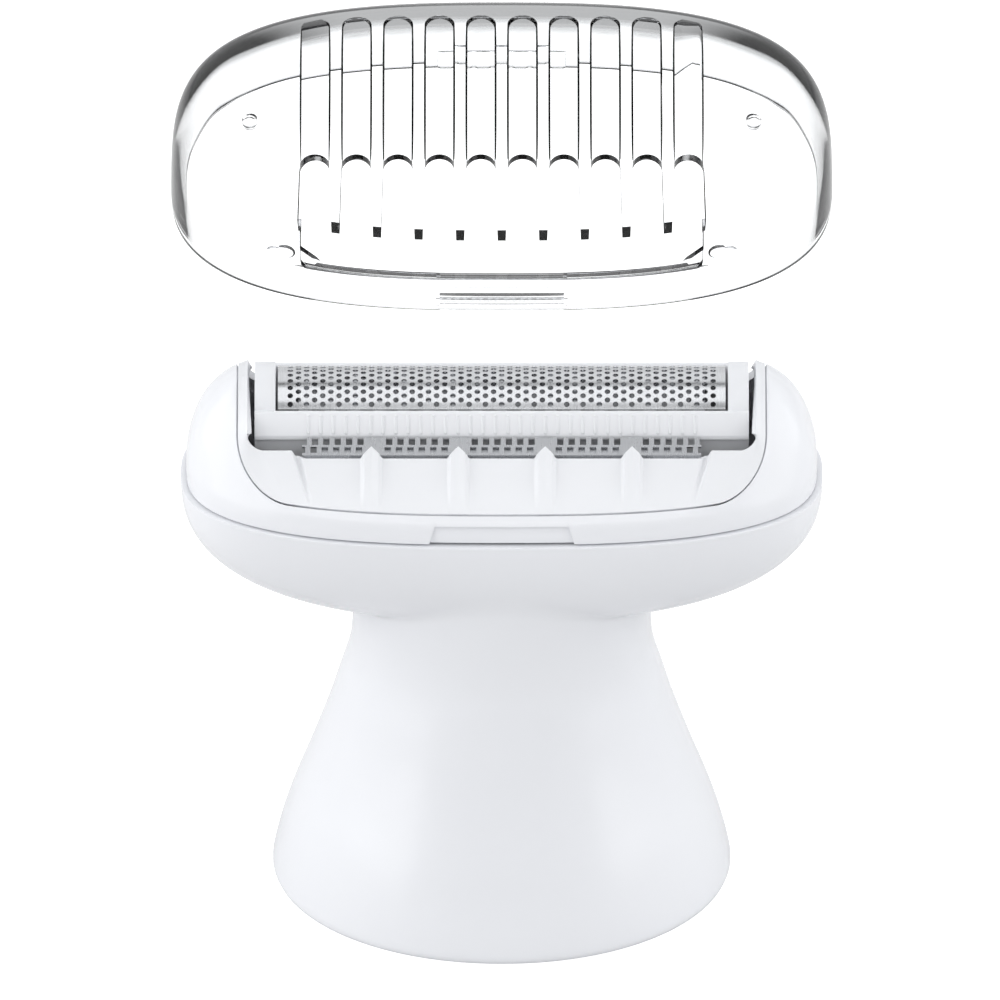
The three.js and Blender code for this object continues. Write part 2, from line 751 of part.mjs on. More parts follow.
const quarters = [[1, 1], [-1, 1], [-1, -1], [1, -1]];
quarters.forEach(([alongX, alongY], i) => {
  const place = [alongX * chassisScrew.x, alongY * chassisScrew.y, chassis.z[1] + 0.1];
  add("chassis_screw_" + (i + 1), screw(chassisScrew.length), steel, place);
});
for (const [side, along] of [["left", -1], ["right", 1]]) {
  const place = [along * bearing.screwX, 0, bearing.z[1] + bearing.seat];
  add("bearing_screw_" + side, screw(bearing.screwLength), steel, place);
}

// The cap hangs in the pose it has when it is swung clear of the head.
const capSwing = new THREE.Group();
capSwing.position.set(0, capHinge.y, capHinge.z);
capSwing.rotation.x = capTilt;
head.add(capSwing);
const capMesh = add("comb_cap", combCap(), clear);
capMesh.position.set(0, -capHinge.y, capSeatZ - capHinge.z);
capSwing.add(capMesh);

export default head;
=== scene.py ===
"""Looks for an epilator's foil shaving head and its clear comb cap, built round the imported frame.

Shapes are worked out in millimetres in the frame's own axes and scaled to metres when a mesh is made.
"""
import json
import math
import bpy
import numpy as np
from mathutils import Matrix, Vector


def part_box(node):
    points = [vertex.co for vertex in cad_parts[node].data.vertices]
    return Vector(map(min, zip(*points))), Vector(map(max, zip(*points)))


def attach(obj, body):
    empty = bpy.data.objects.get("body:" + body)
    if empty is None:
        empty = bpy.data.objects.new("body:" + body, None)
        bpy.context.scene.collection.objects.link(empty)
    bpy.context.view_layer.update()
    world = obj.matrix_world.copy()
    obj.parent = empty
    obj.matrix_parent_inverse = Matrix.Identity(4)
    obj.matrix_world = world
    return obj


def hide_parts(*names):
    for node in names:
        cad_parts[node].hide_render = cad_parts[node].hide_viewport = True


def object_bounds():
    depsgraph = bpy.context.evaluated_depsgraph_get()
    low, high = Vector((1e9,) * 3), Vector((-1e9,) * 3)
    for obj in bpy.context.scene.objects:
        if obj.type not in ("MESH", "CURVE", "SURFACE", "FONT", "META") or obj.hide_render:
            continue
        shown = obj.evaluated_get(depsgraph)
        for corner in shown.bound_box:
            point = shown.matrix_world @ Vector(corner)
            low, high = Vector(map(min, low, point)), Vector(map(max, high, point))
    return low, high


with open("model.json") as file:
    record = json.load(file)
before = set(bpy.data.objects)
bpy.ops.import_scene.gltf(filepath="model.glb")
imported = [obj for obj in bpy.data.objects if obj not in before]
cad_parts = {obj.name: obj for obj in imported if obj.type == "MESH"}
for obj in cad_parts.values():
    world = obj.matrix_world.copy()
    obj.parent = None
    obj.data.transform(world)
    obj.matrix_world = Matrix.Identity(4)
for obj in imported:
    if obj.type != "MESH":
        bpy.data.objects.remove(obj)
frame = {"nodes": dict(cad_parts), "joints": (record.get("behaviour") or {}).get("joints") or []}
cad_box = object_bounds()

MM = 0.001


def node_box(name):
    """Lowest and highest corner of a CAD node, in millimetres."""
    low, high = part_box(name)
    return np.array(low) / MM, np.array(high) / MM


lower_high = node_box("lower_housing")[1]
upper_low = node_box("upper_housing")[0]
foil_low, foil_high = node_box("shaving_foil")
frame_low, frame_high = node_box("foil_frame")
cap_half_length = node_box("comb_cap")[1][0]

# ---------- driving dimensions, in millimetres ----------

SEAM_Z = lower_high[2]
UPPER_Z = upper_low[2]
HALF_LENGTH = lower_high[0]
HALF_WIDTH = 12.96
SQUARENESS = 2.65
WALL = {"lower": 1.25, "upper": 0.9, "collar": 0.6}
SIDES = 256

BOWL = {"depth": 11.4, "length_curve": 2.43, "width_curve": 2.3, "bottom_squareness": 2.35, "fillet": 0.75}
NECK_SQUARENESS = 2.05
NECK_ROWS = (
    # height, half length, half width
    (0.0, 18.7, 17.3),
    (0.35, 18.85, 17.45),
    (1.4, 18.7, 17.3),
    (4.0, 18.05, 16.7),
    (6.65, 17.2, 15.95),
    (10.5, 15.75, 14.6),
    (14.8, 14.25, 13.2),
    (17.6, 13.4, 12.45),
    (20.7, 12.5, 11.6),
    (22.8, 12.28, 11.35),
    (SEAM_Z, 12.2, 11.3),
)
LEDGE = {"low": 17.0, "high": 18.2, "bore": 9.9}
BOSS = {"x": 9.8, "y": 4.0, "radius": 1.9, "bore": 0.85, "low": 26.3, "high": 28.0}

RECESS = {"half_width": 21.7, "floor": 38.9, "corner": 4.2}
NEST_GAP = 0.14
NOTCH = {"half_width": 5.8, "height": 1.45, "depth": 0.22, "panel": 0.4}

FOIL_AXIS_Z = 41.3
FOIL_RADIUS = foil_high[2] - FOIL_AXIS_Z
BAY = {"pitch": 7.1, "width": 5.6, "count": 5}


# ---------- curves ----------

def smooth_rows(rows, steps):
    """A smooth curve through rows of numbers, spaced by its own length."""
    rows = np.array(rows, float)
    chord = np.maximum(np.linalg.norm(np.diff(rows[:, :2], axis=0), axis=1), 1e-6) ** 0.5
    knots = np.concatenate([[0.0], np.cumsum(chord)])
    slopes = np.gradient(rows, knots, axis=0)
    made = []
    for i in range(len(rows) - 1):
        span = knots[i + 1] - knots[i]
        for t in np.linspace(0, 1, steps, endpoint=False):
            h0 = 2 * t**3 - 3 * t**2 + 1
            h1 = t**3 - 2 * t**2 + t
            h2 = -2 * t**3 + 3 * t**2
            h3 = t**3 - t**2
            made.append(h0 * rows[i] + h1 * span * slopes[i] + h2 * rows[i + 1] + h3 * span * slopes[i + 1])
    made.append(rows[-1])
    return np.array(made)


def eased(rows, passes):
    """Rows averaged with their neighbours, so that the curve's bend changes slowly; the ends stay."""
    rows = rows.copy()
    for _ in range(passes):
        rows[1:-1] = (rows[:-2] + 2 * rows[1:-1] + rows[2:]) / 4
    return rows


def rounded_plan(angles, squareness):
    """Unit superellipse points at even angles."""
    c, s = np.cos(angles), np.sin(angles)
    reach = (np.abs(c) ** squareness + np.abs(s) ** squareness) ** (-1 / squareness)
    return reach * c, reach * s


def reach(angles, a, b, squareness):
    """Distance from the axis to a superellipse, along given directions."""
    c, s = np.abs(np.cos(angles)), np.abs(np.sin(angles))
    return ((c / a) ** squareness + (s / b) ** squareness) ** (-1 / squareness)


def smoothstep(low, high, value):
    t = np.clip((value - low) / (high - low), 0, 1)
    return t * t * (3 - 2 * t)


# ---------- meshes ----------

def make_piece(name, points, faces, material, body, slot, replaces=(), sharp=35):
    """A smooth-shaded mesh object in metres that rides on a CAD body."""
    mesh = bpy.data.meshes.new(name)
    mesh.from_pydata((np.asarray(points, float) * MM).tolist(), [], faces)
    mesh.validate()
    piece = bpy.data.objects.new(name, mesh)
    bpy.context.scene.collection.objects.link(piece)
    mesh.materials.append(material)
    shade(mesh, sharp)
    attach(piece, body)
    if replaces:
        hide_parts(*replaces)
    return piece


def shade(mesh, sharp):
    mesh.polygons.foreach_set("use_smooth", [True] * len(mesh.polygons))
    mesh.set_sharp_from_angle(angle=math.radians(sharp))


def ring_faces(rows, sides):
    """Quads of a grid whose rows are closed rings."""
    faces = []
    for r in range(rows - 1):
        low = r * sides
        high = low + sides
        for i in range(sides):
            j = (i + 1) % sides
            faces.append((low + i, low + j, high + j, high + i))
    return faces


def capped(rings):
    """Points and faces of a closed skin through rings, flat at both ends."""
    sides = len(rings[0])
    points = [tuple(p) for ring in rings for p in ring]
    faces = ring_faces(len(rings), sides)
    faces.append(tuple(range(sides))[::-1])
    last = (len(rings) - 1) * sides
    faces.append(tuple(range(last, last + sides)))
    return points, faces


def disc_stack(rows, x=0.0, y=0.0, sides=48):
    """A turned solid from (radius, height) rows, bottom first."""
    turn = np.linspace(0, 2 * math.pi, sides, endpoint=False)
    rings = [np.stack([x + r * np.cos(turn), y + r * np.sin(turn), np.full(sides, z)], 1) for r, z in rows]
    return capped(rings)


def slab(front, back):
    """A closed plate between two grids of points of the same size."""
    rows, columns = front.shape[:2]
    loop = [(0, c) for c in range(columns)] + [(r, columns - 1) for r in range(1, rows)]
    loop += [(rows - 1, c) for c in range(columns - 2, -1, -1)] + [(r, 0) for r in range(rows - 2, 0, -1)]
    points = [tuple(p) for p in front.reshape(-1, 3)] + [tuple(p) for p in back.reshape(-1, 3)]
    count = rows * columns
    faces = []
    for r in range(rows - 1):
        for c in range(columns - 1):
            start = r * columns + c
            corners = (start, start + 1, start + columns + 1, start + columns)
            faces.append(corners)
            faces.append(tuple(count + i for i in corners[::-1]))
    for k in range(len(loop)):
        first = loop[k][0] * columns + loop[k][1]
        second = loop[(k + 1) % len(loop)][0] * columns + loop[(k + 1) % len(loop)][1]
        faces.append((second, first, count + first, count + second))
    return points, faces


def scratch(points, faces):
    """A bare mesh object used only as a cutter."""
    mesh = bpy.data.meshes.new("cutter")
    mesh.from_pydata((np.asarray(points, float) * MM).tolist(), [], faces)
    cutter = bpy.data.objects.new("cutter", mesh)
    bpy.context.scene.collection.objects.link(cutter)
    return cutter


def add_modifier(piece, kind, **settings):
    modifier = piece.modifiers.new(kind.lower(), kind)
    for key, value in settings.items():
        setattr(modifier, key, value)
    return modifier


def apply_modifiers(piece, sharp=35):
    """Turns the piece's modifiers into its mesh."""
    bpy.context.view_layer.update()
    graph = bpy.context.evaluated_depsgraph_get()
    old = piece.data
    piece.data = bpy.data.meshes.new_from_object(piece.evaluated_get(graph))
    piece.modifiers.clear()
    bpy.data.meshes.remove(old)
    shade(piece.data, sharp)


def combine(piece, other, operation):
    """A boolean of the piece with a scratch object, which is then deleted."""
    add_modifier(piece, "BOOLEAN", object=other, operation=operation, solver="MANIFOLD")
    apply_modifiers(piece)
    mesh = other.data
    bpy.data.objects.remove(other)
    bpy.data.meshes.remove(mesh)


def prism(outline, low, high, axis):
    """Points and faces of an outline in the other two axes, run along one axis."""
    count = len(outline)
    points = []
    for level in (low, high):
        for u, v in outline:
            place = [u, v]
            place.insert(axis, level)
            points.append(place)
    faces = [tuple(range(count))[::-1], tuple(range(count, 2 * count))]
    for i in range(count):
        j = (i + 1) % count
        faces.append((i, j, count + j, count + i))
    area = sum(outline[i][0] * outline[(i + 1) % count][1] - outline[(i + 1) % count][0] * outline[i][1]
               for i in range(count))
    if (area < 0) != (axis == 1):
        faces = [face[::-1] for face in faces]
    return points, faces


def merged(parts):
    """Several (points, faces) pairs as one."""
    points, faces = [], []
    for more_points, more_faces in parts:
        start = len(points)
        points.extend(list(p) for p in more_points)
        faces.extend(tuple(start + i for i in face) for face in more_faces)
    return points, faces


def arc(centre, radius, start, end, steps):
    """Points on an arc, in degrees."""
    return [
        (centre[0] + radius * math.cos(math.radians(a)), centre[1] + radius * math.sin(math.radians(a)))
        for a in np.linspace(start, end, steps + 1)
    ]


# ---------- materials ----------

def node_material(name):
    material = bpy.data.materials.new(name)
    material.use_nodes = True
    nodes = material.node_tree.nodes
    shader = nodes["Principled BSDF"]
    return material, material.node_tree, shader


def noise(tree, scale, detail=3.0):
    place = tree.nodes.new("ShaderNodeTexCoord")
    texture = tree.nodes.new("ShaderNodeTexNoise")
    texture.inputs["Scale"].default_value = scale
    texture.inputs["Detail"].default_value = detail
    tree.links.new(place.outputs["Object"], texture.inputs["Vector"])
    return texture.outputs["Fac"]


def ramp(tree, source, low, high, start=0.3, end=0.7):
    """Maps a 0 to 1 value to a range of colours or greys."""
    node = tree.nodes.new("ShaderNodeValToRGB")
    node.color_ramp.elements[0].position = start
    node.color_ramp.elements[1].position = end
    for element, value in zip(node.color_ramp.elements, (low, high)):
        element.color = (*value, 1.0) if isinstance(value, tuple) else (value, value, value, 1.0)
    tree.links.new(source, node.inputs["Fac"])
    return node.outputs["Color"]


def add_bump(tree, shader, source, strength, distance):
    node = tree.nodes.new("ShaderNodeBump")
    node.inputs["Strength"].default_value = strength
    node.inputs["Distance"].default_value = distance
    tree.links.new(source, node.inputs["Height"])
    tree.links.new(node.outputs["Normal"], shader.inputs["Normal"])


def plastic(name, colour, roughness, variation=0.012, grain=3500.0, relief=0.000004):
    """Moulded plastic: slight tone and gloss variation and a fine surface grain."""
    material, tree, shader = node_material(name)
    darker = tuple(max(0.0, c * (1 - variation)) for c in colour)
    gloss = ramp(tree, noise(tree, 260.0), roughness * 0.85, roughness * 1.15)
    tree.links.new(ramp(tree, noise(tree, 90.0), darker, colour), shader.inputs["Base Color"])
    tree.links.new(gloss, shader.inputs["Roughness"])
    add_bump(tree, shader, noise(tree, grain, 2.0), 0.25, relief)
    shader.inputs["IOR"].default_value = 1.5
    return material


def metal(name, colour, roughness, streaks=(900.0, 60.0, 60.0)):
    """Rolled or turned metal: fine streaks along one axis."""
    material, tree, shader = node_material(name)
    shader.inputs["Metallic"].default_value = 1.0
    place = tree.nodes.new("ShaderNodeTexCoord")
    stretch = tree.nodes.new("ShaderNodeMapping")
    stretch.inputs["Scale"].default_value = streaks
    texture = tree.nodes.new("ShaderNodeTexNoise")
    texture.inputs["Scale"].default_value = 12.0
    tree.links.new(place.outputs["Object"], stretch.inputs["Vector"])
    tree.links.new(stretch.outputs["Vector"], texture.inputs["Vector"])
    darker = tuple(c * 0.9 for c in colour)
    streak = texture.outputs["Fac"]
    tree.links.new(ramp(tree, streak, darker, colour), shader.inputs["Base Color"])
    tree.links.new(ramp(tree, streak, roughness * 0.8, roughness * 1.25), shader.inputs["Roughness"])
    add_bump(tree, shader, streak, 0.15, 0.000004)
    return material


def clear_plastic():
    material, tree, shader = node_material("clear_plastic")
    shader.inputs["Base Color"].default_value = (0.985, 0.99, 0.995, 1.0)
    shader.inputs["Transmission Weight"].default_value = 1.0
    shader.inputs["IOR"].default_value = 1.49
    tree.links.new(ramp(tree, noise(tree, 120.0), 0.0, 0.03), shader.inputs["Roughness"])
    return material


housing_white = plastic("housing_white", (0.80, 0.81, 0.84), 0.2)
frame_white = plastic("frame_white", (0.79, 0.80, 0.825), 0.36)
inner_grey = plastic("inner_grey", (0.16, 0.165, 0.175), 0.5, 0.08)
dark_plastic = plastic("dark_grey", (0.035, 0.037, 0.04), 0.45, 0.15)
seal_rubber = plastic("seal_rubber", (0.015, 0.015, 0.016), 0.75, 0.2, 1800.0, 0.00001)
foil_steel = metal("foil_steel", (0.86, 0.87, 0.89), 0.17)
blade_steel = metal("blade_steel", (0.5, 0.51, 0.53), 0.3)
spring_steel = metal("spring_steel", (0.55, 0.56, 0.58), 0.28)
bush_brass = metal("bush_brass", (0.72, 0.5, 0.24), 0.3)
cap_clear = clear_plastic()


# ---------- housings ----------

DOME_RINGS = (
    (UPPER_Z, 25.82, 12.62),
    (37.5, 25.84, 12.5),
    (38.3, 25.83, 12.2),
    (39.1, 25.76, 11.65),
    (40.2, 25.55, 10.95),
    (41.4, 25.2, 10.25),
    (42.6, 24.7, 9.4),
    (43.8, 23.95, 8.3),
    (44.8, 23.05, 6.9),
    (45.5, 22.2, 5.3),
    (45.95, 21.35, 3.4),
    (46.2, 20.6, 1.2),
)


def neck_size(z):
    rows = smooth_rows(NECK_ROWS, 8)
    return np.interp(z, rows[:, 0], rows[:, 1]), np.interp(z, rows[:, 0], rows[:, 2])


def bowl_reach(angles, z):
    fall = (SEAM_Z - z) / BOWL["depth"]
    if fall >= 1:
        return np.zeros_like(angles)
    a = HALF_LENGTH * (1 - fall ** BOWL["length_curve"]) ** (1 / BOWL["length_curve"])
    b = HALF_WIDTH * (1 - fall ** BOWL["width_curve"]) ** (1 / BOWL["width_curve"])
    return reach(angles, a, b, SQUARENESS + (BOWL["bottom_squareness"] - SQUARENESS) * fall)


def lower_ring(angles, z):
    """The lower housing's outline: neck and bowl, with a fillet where they meet."""
    neck = reach(angles, *neck_size(z), NECK_SQUARENESS)
    bowl = bowl_reach(angles, z)
    near = np.maximum(0, BOWL["fillet"] - np.abs(neck - bowl))
    radius = np.maximum(neck, bowl) + near**2 / (4 * BOWL["fillet"])
    return np.stack([radius * np.cos(angles), radius * np.sin(angles), np.full(len(angles), z)], 1)


def lower_housing():
    turn = np.linspace(0, 2 * math.pi, SIDES, endpoint=False)
    angles = np.arctan2(0.65 * np.sin(turn), np.cos(turn))
    bowl_low = SEAM_Z - BOWL["depth"]
    neck_rows = smooth_rows(NECK_ROWS[:-1], 5)[:, 0]
    bowl_rows = bowl_low + BOWL["depth"] * np.linspace(0, 1, 80) ** 1.7
    heights = np.concatenate([neck_rows, np.linspace(neck_rows[-1], bowl_low, 8)[1:-1], bowl_rows])
    rings = [lower_ring(angles, z) for z in heights]
    points = [tuple(p) for ring in rings for p in ring]
    piece = make_piece("housing_lower_shell", points, ring_faces(len(rings), SIDES),
                       housing_white, "head", "housing", ["lower_housing"])
    add_modifier(piece, "SOLIDIFY", thickness=WALL["lower"] * MM, offset=-1.0, use_even_offset=True)
    add_modifier(piece, "BEVEL", width=0.22 * MM, segments=3, limit_method="ANGLE",
                 angle_limit=math.radians(60))
    apply_modifiers(piece)
    ledge = [lower_ring(angles, z) * [0.965, 0.965, 1] for z in (LEDGE["low"], LEDGE["high"])]
    combine(piece, scratch(*capped(ledge)), "UNION")
    opening = [(LEDGE["bore"], LEDGE["low"] - 1), (LEDGE["bore"], LEDGE["high"] + 1)]
    combine(piece, scratch(*disc_stack(opening, sides=96)), "DIFFERENCE")
    for x in (BOSS["x"], -BOSS["x"]):
        for y in (BOSS["y"], -BOSS["y"]):
            boss = [(BOSS["radius"], BOSS["low"]), (BOSS["radius"], BOSS["high"])]
            combine(piece, scratch(*disc_stack(boss, x, y)), "UNION")
            bore = [(BOSS["bore"], BOSS["low"] + 0.6), (BOSS["bore"], BOSS["high"] + 1)]
            combine(piece, scratch(*disc_stack(bore, x, y, 24)), "DIFFERENCE")
    return piece


class Dome:
    """The outside of the upper housing: half length and half width against height."""

    rows = smooth_rows(DOME_RINGS, 12)

    @classmethod
    def size(cls, z):
        heights = cls.rows[:, 0]
        return np.interp(z, heights, cls.rows[:, 1]), np.interp(z, heights, cls.rows[:, 2])

    @classmethod
    def width_at(cls, x, z):
        """Half width of the dome over a point of its length."""
        a, b = cls.size(z)
        inside = np.clip(1 - (np.abs(x) / a) ** SQUARENESS, 0, 1)
        return b * inside ** (1 / SQUARENESS)


def recess_floor(x, margin=0.0):
    """Height of the U-shaped recess edge over x, or far up beyond its walls."""
    x = np.abs(x)
    wall = RECESS["half_width"] - margin
    corner = RECESS["corner"] - margin
    flat = wall - corner
    inside = np.clip(x - flat, 0, corner)
    curve = RECESS["floor"] + margin + corner - np.sqrt(corner**2 - inside**2)
    return np.where(x < wall, curve, 1000.0)


def notch_rise(x):
    """How far the lip of the upper housing is raised over the finger notch."""
    low, high = NOTCH["half_width"] - 0.25, NOTCH["half_width"] + 0.25
    return NOTCH["height"] * (1 - smoothstep(low, high, np.abs(x)))


def upper_housing():
    sides, levels = 720, 48
    angles = np.linspace(0, 2 * math.pi, sides, endpoint=False)
    plan_x, plan_y = rounded_plan(angles, SQUARENESS)
    heights = np.linspace(UPPER_Z, DOME_RINGS[-1][0], 4000)
    a, b = Dome.size(heights)
    tops = []
    for px in plan_x:
        crossed = heights >= recess_floor(a * px)
        tops.append(heights[np.argmax(crossed)] if crossed.any() else heights[-1])
    tops = np.array(tops)
    starts = UPPER_Z + notch_rise(HALF_LENGTH * plan_x)
    starts = np.minimum(starts, tops - 0.2)
    points = []
    for share in np.linspace(0, 1, levels):
        z = starts + (tops - starts) * share
        a, b = Dome.size(z)
        points.extend(zip(a * plan_x, b * plan_y, z))
    piece = make_piece("housing_upper_shell", points, ring_faces(levels, sides),
                       housing_white, "head", "housing", ["upper_housing"])
    add_modifier(piece, "SOLIDIFY", thickness=WALL["upper"] * MM, offset=-1.0, use_even_offset=True)
    add_modifier(piece, "BEVEL", width=0.16 * MM, segments=3, limit_method="ANGLE",
                 angle_limit=math.radians(50))
    apply_modifiers(piece)
    for side in (1, -1):
        combine(piece, scratch(*notch_panel(side)), "UNION")
    return piece


def notch_panel(side):
    """The shallow back of the finger notch, as a plate let into the wall at each of its ends."""
    x, z = np.meshgrid(np.linspace(-1, 1, 41) * (NOTCH["half_width"] + 0.6),
                       np.linspace(UPPER_Z + 0.06, UPPER_Z + NOTCH["height"] + 0.5, 9))
    y = Dome.width_at(x, z)
    front = np.stack([x, -(y - NOTCH["depth"]), z], 2)
    back = np.stack([x, -(y - NOTCH["depth"] - NOTCH["panel"]), z], 2)
    points, faces = slab(front, back)
    if side < 0:
        points = [(px, -py, pz) for px, py, pz in points]
        faces = [face[::-1] for face in faces]
    return points, faces


# ---------- trimmer frame ----------

APRON = {"inner_y": 6.9, "inner_z": 42.1, "plain_y": 6.45, "bay_depth": 0.5}
CHEEK = {"inner_x": 20.8, "corner_x": 19.5, "corner_z": 43.4, "radius": 1.3}


def nest_edges():
    """Outer and inner edge of the trimmer frame's front half, from the left ear's peak to the right ear's."""
    margin = NEST_GAP
    wall = RECESS["half_width"] - margin
    radius = RECESS["corner"] - margin
    centre_x = wall - radius
    centre_z = RECESS["floor"] + RECESS["corner"]
    heights = np.linspace(centre_z, DOME_RINGS[-1][0], 400)
    peak = heights[np.argmax(Dome.size(heights)[0] <= wall)]

    share = np.linspace(0, 1, 40)
    wall_z = peak - (peak - centre_z) * share**2
    wall_y = -Dome.width_at(wall, wall_z)
    wall_outer = np.stack([np.full(40, -wall), wall_y, wall_z], 1)
    rise = 0.1 + 0.2 * share**2
    wall_inner = np.stack([np.full(40, -CHEEK["inner_x"]), 1.08 * wall_y, wall_z + rise], 1)

    turn = np.radians(np.linspace(180, 270, 42)[1:-1])
    corner_x = -centre_x + radius * np.cos(turn)
    corner_z = centre_z + radius * np.sin(turn)
    corner_outer = np.stack([corner_x, -Dome.width_at(corner_x, corner_z), corner_z], 1)
    blend = np.linspace(0, 1, 40)
    corner_inner = np.stack([
        -CHEEK["corner_x"] + CHEEK["radius"] * np.cos(turn),
        wall_inner[-1, 1] + (-APRON["plain_y"] - wall_inner[-1, 1]) * blend,
        CHEEK["corner_z"] + CHEEK["radius"] * np.sin(turn),
    ], 1)

    x = np.linspace(-centre_x, centre_x, 501)
    floor_z = np.full(501, centre_z - radius)
    floor_outer = np.stack([x, -Dome.width_at(x, floor_z), floor_z], 1)
    spread = (CHEEK["corner_x"] - centre_x) * smoothstep(13.0, centre_x, np.abs(x))
    inner_x = x + np.sign(x) * spread
    bays = bay_share(inner_x)
    tips = rib_tip(inner_x)
    in_trimmer = smoothstep(16.6, 16.3, np.abs(inner_x))
    inner_y = -(APRON["plain_y"] + (APRON["inner_y"] - APRON["plain_y"]) * in_trimmer) + 0.65 * tips
    inner_z = APRON["inner_z"] + 0.3 * tips
    floor_inner = np.stack([inner_x, inner_y, inner_z], 1)

    half = len(wall_outer) + len(corner_outer)
    left_outer = np.vstack([wall_outer, corner_outer])
    left_inner = np.vstack([wall_inner, corner_inner])
    flip = np.array([-1, 1, 1])
    outer = np.vstack([left_outer, floor_outer, left_outer[::-1] * flip])
    inner = np.vstack([left_inner, floor_inner, left_inner[::-1] * flip])
    depth = np.concatenate([np.zeros(half), bays, np.zeros(half)])
    return outer, inner, depth


def bay_share(x):
    """1 inside a bay, 0 on the ribs and the plain ends."""
    share = np.zeros_like(x)
    for i in range(BAY["count"]):
        centre = (i - (BAY["count"] - 1) / 2) * BAY["pitch"]
        half = BAY["width"] / 2
        share = np.maximum(share, smoothstep(half + 0.2, half - 0.2, np.abs(x - centre)))
    return share


def rib_tip(x):
    """1 at the middle of each rib, falling to 0 at its sides."""
    share = np.zeros_like(x)
    for i in range(BAY["count"] - 1):
        centre = (i - (BAY["count"] - 2) / 2) * BAY["pitch"]
        share = np.maximum(share, np.clip(1 - np.abs(x - centre) / 0.6, 0, 1))
    return share


def trimmer_frame():
    outer, inner, bays = nest_edges()
    rear = np.array([1, -1, 1])
    outer = np.vstack([outer, outer[-2:0:-1] * rear])
    inner = np.vstack([inner, inner[-2:0:-1] * rear])
    bays = np.concatenate([bays, bays[-2:0:-1]])
    levels = 24
    points = []
    for share in np.linspace(0, 1, levels):
        ring = outer + (inner - outer) * share
        hollow = 0.25 * math.sin(math.pi * share)
        ring[:, 2] -= (hollow * 0.5 + APRON["bay_depth"] * smoothstep(0.0, 1.0, share)) * bays + 0.1 * hollow
        points.extend(ring)
    piece = make_piece("trimmer_frame_collar", points, ring_faces(levels, len(outer)),
                       frame_white, "head", "frame_plastic", ["trimmer_frame"], 50)
    add_modifier(piece, "SOLIDIFY", thickness=WALL["collar"] * MM, offset=-1.0, use_even_offset=False)
    add_modifier(piece, "BEVEL", width=0.1 * MM, segments=2, limit_method="ANGLE",
                 angle_limit=math.radians(60))
    apply_modifiers(piece, 50)
    return piece


# ---------- foil ----------

BAR = {"y": 5.0, "skirt_y": 4.55, "inner_y": 3.85, "lip_y": 4.08, "lip_z": 44.18, "lip": 0.28,
       "shoulder_z": 42.62, "underside_z": 42.4, "round": 0.24}
RIB = {"pitch": 1.02, "count": 32, "half_width": 0.2, "height": 0.09}


def bar_outline(base):
    """The front bar's section: skirt, rounded shoulder, slope and a rounded lip under the foil's edge."""
    radius = BAR["round"]
    outline = [(-BAR["skirt_y"], base), (-BAR["inner_y"], base), (-BAR["inner_y"], 43.1)]
    outline += arc((-BAR["lip_y"], BAR["lip_z"]), BAR["lip"], 0, 150, 8)
    outline += arc((-BAR["y"] + radius, BAR["shoulder_z"]), radius, 150, 180, 3)
    outline += arc((-BAR["y"] + radius, BAR["underside_z"]), radius, 180, 250, 5)
    return outline + [(-BAR["skirt_y"], BAR["underside_z"] - 0.3)]


def post_outline(base):
    """The section of the end posts: between the bars, rounded over the top."""
    side = BAR["y"] - 0.03
    crown = arc((0, FOIL_AXIS_Z), frame_high[2] - FOIL_AXIS_Z, 138, 42, 36)
    skirt = BAR["skirt_y"] - 0.03
    rear = [(side, BAR["shoulder_z"]), (side, BAR["underside_z"]), (skirt, BAR["underside_z"] - 0.3),
            (skirt, base + 0.02)]
    return mirrored_y(rear[::-1]) + crown + rear


def mirrored_y(outline):
    return [(-y, z) for y, z in outline]


def foil_frame():
    half = frame_high[0]
    post = foil_high[0] + 0.2
    base = frame_low[2]
    bar = bar_outline(base)
    piece = make_piece("foil_frame_body", *prism(bar, -half, half, 0), frame_white, "foil",
                       "frame_plastic", ["foil_frame"])
    combine(piece, scratch(*prism(mirrored_y(bar), -half, half, 0)), "UNION")
    end = post_outline(base)
    combine(piece, scratch(*prism(end, -half, -post, 0)), "UNION")
    combine(piece, scratch(*prism(end, post, half, 0)), "UNION")
    add_modifier(piece, "BEVEL", width=0.14 * MM, segments=3, limit_method="ANGLE",
                 angle_limit=math.radians(62))
    apply_modifiers(piece)
    combine(piece, scratch(*frame_ribs()), "UNION")
    return piece


def frame_ribs():
    """Fine raised ribs down the sloping front and rear faces of the foil frame."""
    parts = []
    lean = math.radians(150)
    normal = np.array([math.cos(lean), math.sin(lean)])
    low = np.array([-BAR["y"] + BAR["round"], BAR["shoulder_z"]]) + BAR["round"] * normal
    high = np.array([-BAR["lip_y"], BAR["lip_z"]]) + BAR["lip"] * normal
    along = (high - low) / np.linalg.norm(high - low)
    out = np.array([-along[1], along[0]])
    for side in (1, -1):
        for i in range(RIB["count"]):
            x = (i - (RIB["count"] - 1) / 2) * RIB["pitch"]
            rings = []
            for centre, rise in ((low, -0.05), (low + 0.12 * along, RIB["height"]),
                                 (high - 0.12 * along, RIB["height"]), (high, -0.05)):
                ring = []
                for angle in np.linspace(0, math.pi, 9):
                    across = RIB["half_width"] * math.cos(angle)
                    place = centre + out * ((rise + 0.12) * math.sin(angle) - 0.12)
                    ring.append((x + across, side * place[0], place[1]))
                rings.append(ring if side > 0 else ring[::-1])
            parts.append(capped(rings))
    return merged(parts)


FOIL = {"half_angle": 49.0, "thickness": 0.14, "hole": 0.235, "hole_sides": 10, "pitch": 1.33, "row": 0.38,
        "margin": 0.75}


